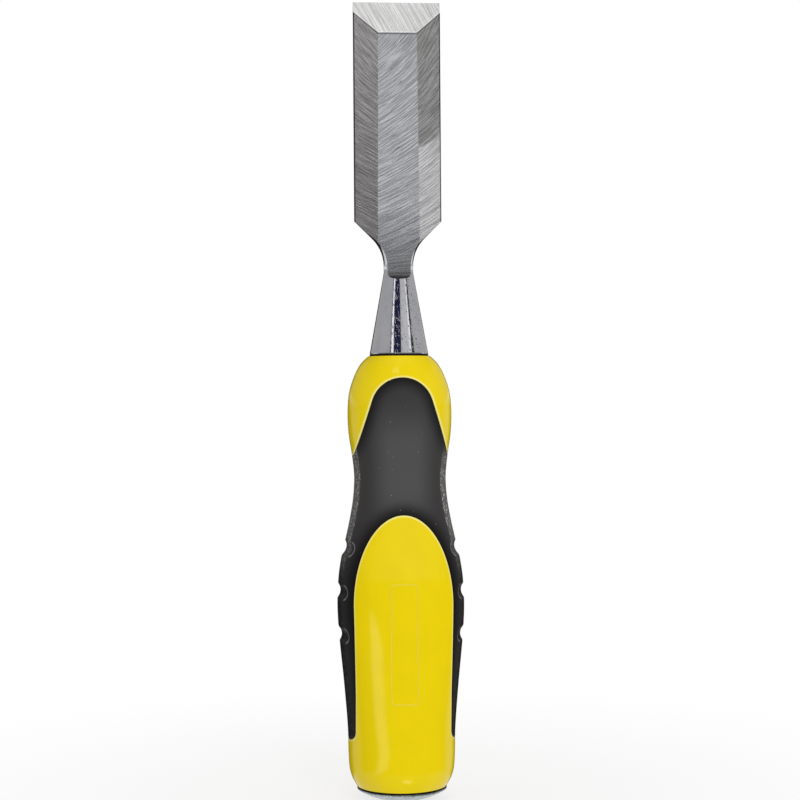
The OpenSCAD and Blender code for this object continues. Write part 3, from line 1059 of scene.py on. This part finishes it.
class ChiselGrip(bpy.types.Operator):
    """Rubber grip: a closed skin with rolled edges, finger grooves and an even thickness"""

    bl_idname = "chisel.grip"
    bl_label = "Rubber grip"

    def execute(self, context):
        shape = context.scene.chisel_shapes
        look = context.scene.chisel_finishes
        rows = np.arange(FOOT, ARCH + 1)
        z = ROWS[rows, None]
        share = both_ends(44) * 0.55 + np.linspace(0, 1, 45) * 0.45
        turns = PANEL_TURN[rows, None] * (1 - share) + TONGUE_TURN[rows, None] * share
        surface = skin(turns, z)
        gap = np.minimum(distance(surface, PANEL_LINE), distance(surface, TONGUE_LINE))
        inset = np.maximum(rolled(gap, shape.rubber_round) + groove_depth(surface), SKIN_INSET)
        shell = Shell()
        shell.add(skin(turns, z, inset), mark=np.minimum(gap, 10.0))
        shell.add(skin(turns, z, shape.recess - 0.1)[:, ::-1])
        depths = np.array([shape.recess - 0.1, shape.rubber_round])
        low = rows[rows <= APEX]
        shell.add(skin(PANEL_TURN[low, None], ROWS[low, None], depths))
        high = rows[rows >= MEET]
        shell.add(skin(TONGUE_TURN[high, None], ROWS[high, None], depths[::-1]))
        piece = shell.quartered().piece("rubber_sleeve", "grip_rubber", 45, "inland")
        piece.data.materials.append(grip_rubber(look))
        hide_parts("rubber_grip")
        return {"FINISHED"}


class ChiselFittings(bpy.types.Operator):
    """Strike cap, cap ring and bolster washer turned with softened edges, and the sleeve"""

    bl_idname = "chisel.fittings"
    bl_label = "Cap, ring, washer and sleeve"

    def execute(self, context):
        shape = context.scene.chisel_shapes
        look = context.scene.chisel_finishes
        sides = shape.sides
        self.turn("domed_cap", "cap_steel", "strike_cap", self.cap_outline(), sides, cap_steel(look))
        ring_black = (0.01, 0.01, 0.011)
        washer_black = (0.010, 0.008, 0.008)
        for name, slot, node, bore, low_round, colour in (
            ("seal_ring", "ring_rubber", "cap_ring", STEM_R, 0.2, ring_black),
            ("bolster_seal", "washer_rubber", "bolster_washer", WASHER_BORE_R, 0.15, washer_black),
        ):
            low, high = (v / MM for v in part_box(node))
            corners = [(bore, low.z), (high.x, low.z), (high.x, high.z), (bore, high.z)]
            outline = rounded(corners, [0, low_round, 0.2, 0], 7)
            self.turn(name, slot, node, outline, sides, soft_black(slot, colour))
        sleeve = frame["nodes"]["tang_sleeve"]
        nylon = soft_black("sleeve_nylon", (0.25, 0.25, 0.26))
        sleeve.material_slots[0].link = "OBJECT"
        sleeve.material_slots[0].material = nylon
        return {"FINISHED"}

    @staticmethod
    def turn(name, slot, node, outline, sides, material):
        """One turned piece that stands for a node: its outline closed round, on both ends."""
        shell = Shell()
        shell.add(turned(np.concatenate([outline, outline[:1]]), sides), wrap=True)
        piece = shell.piece(name, slot, 35)
        piece.data.materials.append(material)
        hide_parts(node)

    @staticmethod
    def cap_outline():
        """The cap's outline: flat crown, dome on a sphere through crown and rim, rim, stem."""
        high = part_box("strike_cap")[1] / MM
        dome_h = 3.2
        seat = 3.6
        flat = 4.5
        centre = (high.x ** 2 - flat ** 2 + dome_h ** 2) / (2 * dome_h)
        reach = sqrt(flat ** 2 + centre ** 2)
        start = np.arcsin(flat / reach)
        end = np.arcsin((high.x - 0.12) / reach)
        turn = np.linspace(start, end, 16)
        dome = np.stack([reach * np.sin(turn), centre - reach * np.cos(turn)], -1)
        crown = np.stack([np.linspace(0, flat, 5)[:-1], np.zeros(4)], -1)
        corners = [
            dome[-1], (high.x, dome[-1, 1] + 0.12), (high.x, seat), (STEM_R, seat),
            (STEM_R, high.z), (0, high.z),
        ]
        rim = rounded(corners, [0, 0.08, 0.12, 0, 0, 0], 5)
        return np.concatenate([crown, dome[:-1], rim])


class ChiselStage(bpy.types.Operator):
    """Pale floor, backdrop, tent that only reflections see, lights and camera"""

    bl_idname = "chisel.stage"
    bl_label = "Studio"

    def execute(self, context):
        scene = context.scene
        studio = scene.chisel_studio
        scene.view_settings.view_transform = "Standard"
        scene.view_settings.look = "None"

        world = bpy.data.worlds.new("surroundings")
        scene.world = world
        p = Paint(world)
        glow = p.node("ShaderNodeBackground", None, {"Color": (1, 1, 1), "Strength": studio.world})
        p.node("ShaderNodeOutputWorld", None, {"Surface": glow})
        world.cycles_visibility.glossy = False

        floor = self.plate("floor", 3.4)
        floor.data.materials.append(self.pale())
        floor.visible_glossy = False
        floor.visible_diffuse = False
        backdrop = self.dome("backdrop", 3.5)
        backdrop.data.materials.append(self.white())
        backdrop.visible_diffuse = False
        backdrop.visible_glossy = False
        backdrop.visible_shadow = False
        backdrop.visible_transmission = False
        tent = self.dome("tent", 3.0)
        tent.data.materials.append(self.tent_glow())
        tent.visible_camera = False
        tent.visible_diffuse = False
        tent.visible_shadow = False
        tent.visible_transmission = False

        self.lamp("key", (0.41, -1.54, 0.52), 0.9, studio.key)
        self.lamp("overhead", (0.1, 0.1, 1.6), 1.6, studio.top)

        camera = bpy.data.objects.new("camera", bpy.data.cameras.new("camera"))
        scene.collection.objects.link(camera)
        camera.data.lens = studio.lens
        camera.data.sensor_width = 36
        camera.data.clip_start = 0.01
        camera.data.clip_end = 20
        camera.location = (
            studio.distance * sin(studio.around) + studio.aim_x,
            -studio.distance * cos(studio.around),
            studio.aim_z,
        )
        camera.rotation_euler = (QUARTER, studio.roll, studio.around)
        scene.camera = camera
        return {"FINISHED"}

    @staticmethod
    def plate(name, radius):
        """Round flat plate on z = 0, facing up."""
        t = np.linspace(0, 2 * pi, 96, endpoint=False)
        ring = np.stack([radius * np.cos(t), radius * np.sin(t), np.zeros(96)], -1)
        mesh = bpy.data.meshes.new(name)
        mesh.from_pydata(ring.tolist(), [], [list(range(96))])
        plate = bpy.data.objects.new(name, mesh)
        bpy.context.scene.collection.objects.link(plate)
        return plate

    @staticmethod
    def dome(name, radius):
        """Sphere of that radius round the tool's middle, facing inwards."""
        t = np.linspace(0, 2 * pi, 97)
        u = np.linspace(-QUARTER, QUARTER, 49)[:, None]
        points = np.stack([
            radius * np.cos(u) * np.sin(t), -radius * np.cos(u) * np.cos(t),
            0.116 + radius * np.sin(u) * np.ones_like(t),
        ], -1)
        mesh = bpy.data.meshes.new(name)
        mesh.from_pydata(points.reshape(-1, 3).tolist(), [], grid_quads(49, 97)[:, ::-1].tolist())
        merge(mesh, outward=False)
        mesh.polygons.foreach_set("use_smooth", np.ones(len(mesh.polygons), bool))
        dome = bpy.data.objects.new(name, mesh)
        bpy.context.scene.collection.objects.link(dome)
        return dome

    @staticmethod
    def pale():
        """Matt pale paper with the faintest cloud, which fades into the backdrop's white."""
        p = paint("pale_floor")
        x, y, _ = p.place()
        cloud = p.noise(p.vector(x / 260, y / 260), 2.0, 0.5, "2D")
        colour = p.mix(cloud, (0.93, 0.93, 0.93), (0.96, 0.96, 0.96))
        paper = p.node(
            "ShaderNodeBsdfPrincipled", None,
            {"Base Color": colour, "Roughness": 0.9, "Specular IOR Level": 0.0},
        )
        glow = p.node("ShaderNodeEmission", None, {"Color": (1, 1, 1), "Strength": 1.0})
        far = (x * x + y * y).root().smooth(20, 220) * 0.3 + 0.7
        both = p.node("ShaderNodeMixShader", None, {0: far, 1: paper, 2: glow})
        p.node("ShaderNodeOutputMaterial", None, {"Surface": both})
        p.owner.cycles.emission_sampling = "NONE"
        return p.owner

    @staticmethod
    def white():
        """Even white glow behind everything."""
        p = paint("backdrop_glow")
        glow = p.node("ShaderNodeEmission", None, {"Color": (1, 1, 1), "Strength": 1.0})
        p.node("ShaderNodeOutputMaterial", None, {"Surface": glow})
        p.owner.cycles.emission_sampling = "NONE"
        return p.owner

    @staticmethod
    def tent_glow():
        """Brightness of the tent by the way that one looks from the tool: a ramp round the
        compass for each of seven belts, blended upwards, with a tall window at the low left and
        two small spots. Bearings and heights are in degrees, and bearing 0 is the front."""
        p = paint("tent_glow")
        x, y, z = p.place()
        bearing = x.turn(-y) * (180 / pi)
        round_about = bearing / 360 + 0.5
        up = (z - 116).turn((x * x + y * y).root()) * (180 / pi)

        def belt(*stops):
            stops = [
                ((angle + 180) / 360, level if isinstance(level, tuple) else (level,) * 3)
                for angle, level in stops
            ]
            return p.node("ShaderNodeValToRGB", {"stops": stops}, {0: round_about})

        night = (0.02, 0.02, 0.06)
        low = belt(
            (-180, 0.02), (-140, 0.02), (-128, 0.8), (-104, 0.9), (-92, 0.08), (-60, 0.03),
            (60, 0.03), (92, 0.08), (104, 0.9), (128, 0.8), (140, 0.02), (180, 0.02),
        )
        below = (up + 13).least(0.0)
        above = (up + 13).most(0.0)
        left = below * 2.2 - 42
        right = below * 2.6 - above * 2.1 - 20
        window = bearing.smooth(left - 1, left + 1) * (1 - bearing.smooth(right - 1, right + 1))
        low = p.mix(window * (1 - up.smooth(-9.5, -6.5)), low, (3.3, 3.3, 2.8))
        margin = belt(
            (-180, 0.03), (-160, 0.03), (-150, 1.0), (-115, 1.0), (-100, 0.1), (-64, 0.1), (-44, 0.36),
            (-20, 0.7), (4, 0.8), (25, 0.72), (45, 0.64), (56, 0.64), (72, 0.1), (98, 0.1), (112, 1.0),
            (148, 1.0), (158, 0.03), (180, 0.03),
        )
        middle = belt(
            (-180, 0.03), (-158, 0.03), (-150, 0.47), (-70, 0.45), (-44, 0.36), (-20, 0.7), (4, 0.8),
            (25, 0.72), (45, 0.64), (56, 0.64), (72, 0.5), (150, 0.5), (158, 0.03), (180, 0.03),
        )
        high = belt(
            (-180, 0.03), (-158, 0.03), (-152, 0.46), (-60, 0.48), (-42, 0.46), (-41, 0.03), (-38, 0.03),
            (-36.5, 1.2), (-28, 1.2), (-27, night), (4, night), (6, 0.62), (40, 0.68), (41, 1.1),
            (48, 1.1), (49.5, 0.04), (60, 0.04), (62, 0.52), (152, 0.5), (158, 0.03), (180, 0.03),
        )
        roof = belt((-180, 0.2), (-60, 0.25), (0, 0.3), (60, 0.25), (180, 0.2))
        crown = belt(
            (-180, 0.3), (-90, 0.35), (-40, 0.75), (0, 0.95), (40, 0.75), (90, 0.35), (180, 0.3)
        )
        ground = belt((-180, 1.0), (-75, 1.0), (-45, 0.5), (45, 0.5), (75, 1.0), (180, 1.0))
        spot = bearing.band(-1, 18, 3) * up.band(-40, -33, 2)
        star = bearing.band(-20, -2, 3) * up.band(41, 50, 2)
        glow = p.mix(up.smooth(-26.0, -20.0), ground, low)
        glow = p.mix(spot, glow, (6.0, 6.0, 5.0))
        glow = p.mix(up.smooth(0.5, 3.5), glow, middle)
        glow = p.mix(up.band(3.6, 6.4, 0.5), glow, margin)
        glow = p.mix(up.smooth(15.0, 18.0), glow, high)
        glow = p.mix(up.smooth(31.0, 36.0), glow, roof)
        glow = p.mix(up.smooth(51.0, 57.0), glow, crown)
        glow = p.mix(star, glow, (4.0, 4.0, 3.2))
        light = p.node("ShaderNodeEmission", None, {"Color": glow, "Strength": 1.0})
        p.node("ShaderNodeOutputMaterial", None, {"Surface": light})
        p.owner.cycles.emission_sampling = "NONE"
        return p.owner

    @staticmethod
    def lamp(name, place, width, power):
        """Square soft light that looks at the tool's middle and that reflections don't see."""
        light = bpy.data.lights.new(name, "AREA")
        light.size = width
        light.energy = power
        lamp = bpy.data.objects.new(name, light)
        bpy.context.scene.collection.objects.link(lamp)
        lamp.location = place
        away = lamp.location.copy()
        away.z -= 0.116
        lamp.rotation_euler = away.to_track_quat("Z", "Y").to_euler()
        lamp.visible_glossy = False
        lamp.visible_camera = False


class ChiselPanel(bpy.types.Panel):
    """Lists the chisel's settings and its building steps"""

    bl_idname = "CHISEL_PT_main"
    bl_label = "Bench Chisel"
    bl_space_type = "VIEW_3D"
    bl_region_type = "UI"
    bl_category = "Bench Chisel"

    def draw(self, context):
        layout = self.layout
        scene = context.scene
        for group in (scene.chisel_shapes, scene.chisel_finishes, scene.chisel_studio):
            box = layout.box()
            for name in group.__annotations__:
                box.prop(group, name)
        for step in STEPS:
            layout.operator(step.bl_idname)


STEPS = (ChiselStage, ChiselBlade, ChiselHandle, ChiselFrame, ChiselGrip, ChiselFittings)
CLASSES = (ChiselShapes, ChiselFinishes, ChiselStudio, *STEPS, ChiselPanel)


def register():
    for cls in CLASSES:
        bpy.utils.register_class(cls)
    bpy.types.Scene.chisel_shapes = PointerProperty(type=ChiselShapes)
    bpy.types.Scene.chisel_finishes = PointerProperty(type=ChiselFinishes)
    bpy.types.Scene.chisel_studio = PointerProperty(type=ChiselStudio)


def unregister():
    del bpy.types.Scene.chisel_studio
    del bpy.types.Scene.chisel_finishes
    del bpy.types.Scene.chisel_shapes
    for cls in reversed(CLASSES):
        bpy.utils.unregister_class(cls)


def main():
    register()
    bpy.ops.chisel.stage()
    bpy.ops.chisel.blade()
    bpy.ops.chisel.handle()
    bpy.ops.chisel.palm_frame()
    bpy.ops.chisel.grip()
    bpy.ops.chisel.fittings()


if __name__ == "__main__":
    main()
